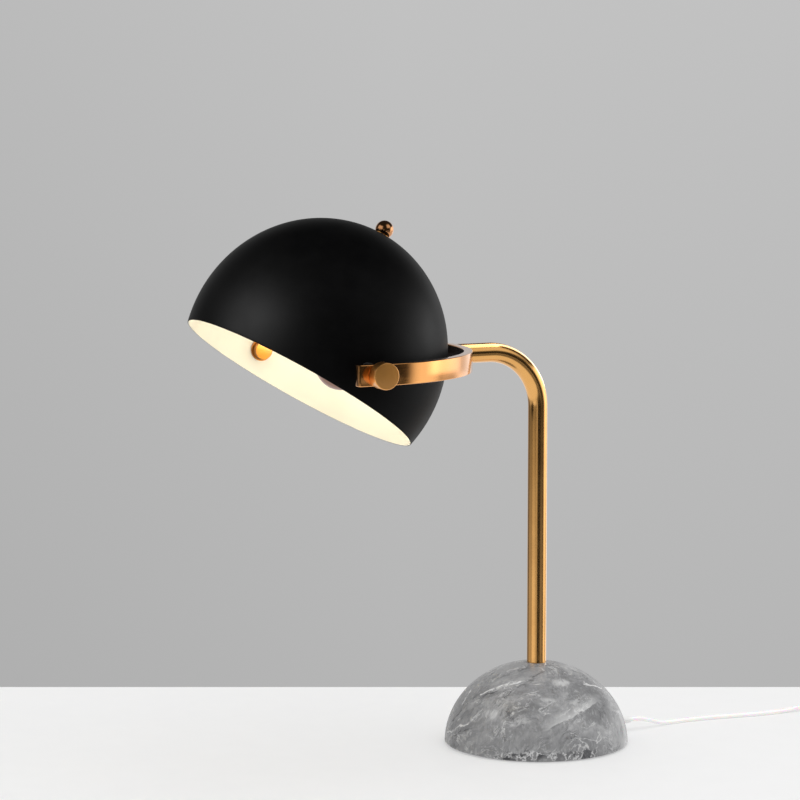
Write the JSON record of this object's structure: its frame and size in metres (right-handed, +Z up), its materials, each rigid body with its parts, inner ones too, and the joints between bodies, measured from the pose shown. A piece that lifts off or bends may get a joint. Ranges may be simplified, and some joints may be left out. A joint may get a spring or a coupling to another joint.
{
  "type": "dome shade desk lamp",
  "caption": "Desk lamp with a tilting dome shade held in a curved yoke on a bent tube column, domed marble foot, corded with an inline rocker switch.",
  "frame": {"origin": "centre of the foot's felt pad, on the surface that the lamp stands on", "axes": "+Z up along the column; the arm and the shade reach towards -X; the shade tilts about a line along Y; the cord leaves towards +X"},
  "size_m": [0.7415, 0.2906, 0.4649],
  "materials": {
    "marble": "polished grey marble, pale clouds and veins",
    "felt": "dark felt",
    "zinc": "zinc plated",
    "brass_tube": "brushed antique brass",
    "brass_band": "brushed antique brass",
    "brass_fittings": "satin brass",
    "brass_finial": "polished antique brass",
    "washer_black": "black fibre",
    "shade_paint": "matt black outside, cream white inside",
    "holder_black": "moulded black",
    "holder_ceramic": "unglazed",
    "contact_metal": "bare",
    "bulb_mirror": "globe with a rose mirrored crown",
    "bulb_metal": "bare",
    "terminal_plastic": "moulded natural",
    "cord_clear": "clear to white flexible jacket",
    "gland_clear": "clear to white flexible sleeve",
    "lead_wire": "clear jacket",
    "switch_white": "moulded white",
    "rocker_white": "moulded white",
    "plug_white": "moulded white",
    "pin_metal": "bright"
  },
  "bodies": {
    "stand": {"clamp_washer": "zinc", "column_tube": "brass_tube", "cord_coil": "cord_clear", "cord_end": "cord_clear", "cord_gland": "gland_clear", "cord_grip": "terminal_plastic", "cord_run": "cord_clear", "cord_tail": "cord_clear", "felt_pad": "felt", "inner_lead": "lead_wire", "inner_mains_cord": "cord_clear", "inner_nut_far": "brass_fittings", "inner_nut_near": "brass_fittings", "lock_nut": "zinc", "marble_base": "marble", "pivot_stud_far": "brass_fittings", "pivot_stud_near": "brass_fittings", "plug_body": "plug_white", "plug_pins": "pin_metal", "recess_cover": "zinc", "spacer_bush_far": "brass_fittings", "spacer_bush_near": "brass_fittings", "switch_contacts": "contact_metal", "switch_lower_shell": "switch_white", "switch_screws": "zinc", "switch_upper_shell": "switch_white", "terminal_block": "terminal_plastic", "terminal_screws": "zinc", "threaded_nipple": "zinc", "tube_insert": "brass_fittings", "yoke_band": "brass_band", "yoke_end_block_far": "brass_fittings", "yoke_end_block_near": "brass_fittings"},
    "shade": {"bulb_cap": "bulb_metal", "bulb_contact": "bulb_metal", "bulb_glass": "bulb_mirror", "crown_bush": "brass_fittings", "finial_ball": "brass_finial", "finial_nut": "zinc", "finial_seat": "brass_finial", "finial_stud": "brass_fittings", "friction_washer_far": "washer_black", "friction_washer_near": "washer_black", "holder_bracket": "zinc", "holder_cap": "holder_black", "holder_contact": "contact_metal", "holder_contact_block": "holder_ceramic", "holder_nipple": "zinc", "holder_nut": "zinc", "holder_skirt": "holder_black", "holder_thread_shell": "contact_metal", "inner_flange_far": "brass_fittings", "inner_flange_near": "brass_fittings", "shade_lead": "lead_wire", "shade_shell": "shade_paint"},
    "near_knob": {"thumb_knob_near": "brass_fittings"},
    "far_knob": {"thumb_knob_far": "brass_fittings"},
    "rocker": {"switch_rocker": "rocker_white"}
  },
  "joints": [
    {"name": "shade_tilt", "type": "hinge", "parent": "stand", "child": "shade", "pos_m": [-0.2148, 0, 0.3461], "axis": [0, 1, 0], "range_deg": [-60, 42]},
    {"name": "near_knob_turn", "type": "hinge", "parent": "stand", "child": "near_knob", "pos_m": [-0.2148, -0.14, 0.3461], "axis": [0, -1, 0], "range_deg": [0, 360]},
    {"name": "far_knob_turn", "type": "hinge", "parent": "stand", "child": "far_knob", "pos_m": [-0.2148, 0.14, 0.3461], "axis": [0, 1, 0], "range_deg": [0, 360]},
    {"name": "rocker_tilt", "type": "hinge", "parent": "stand", "child": "rocker", "pos_m": [0.328, 0.004, 0.0105], "axis": [0, -1, 0], "range_deg": [0, 16]}
  ]
}
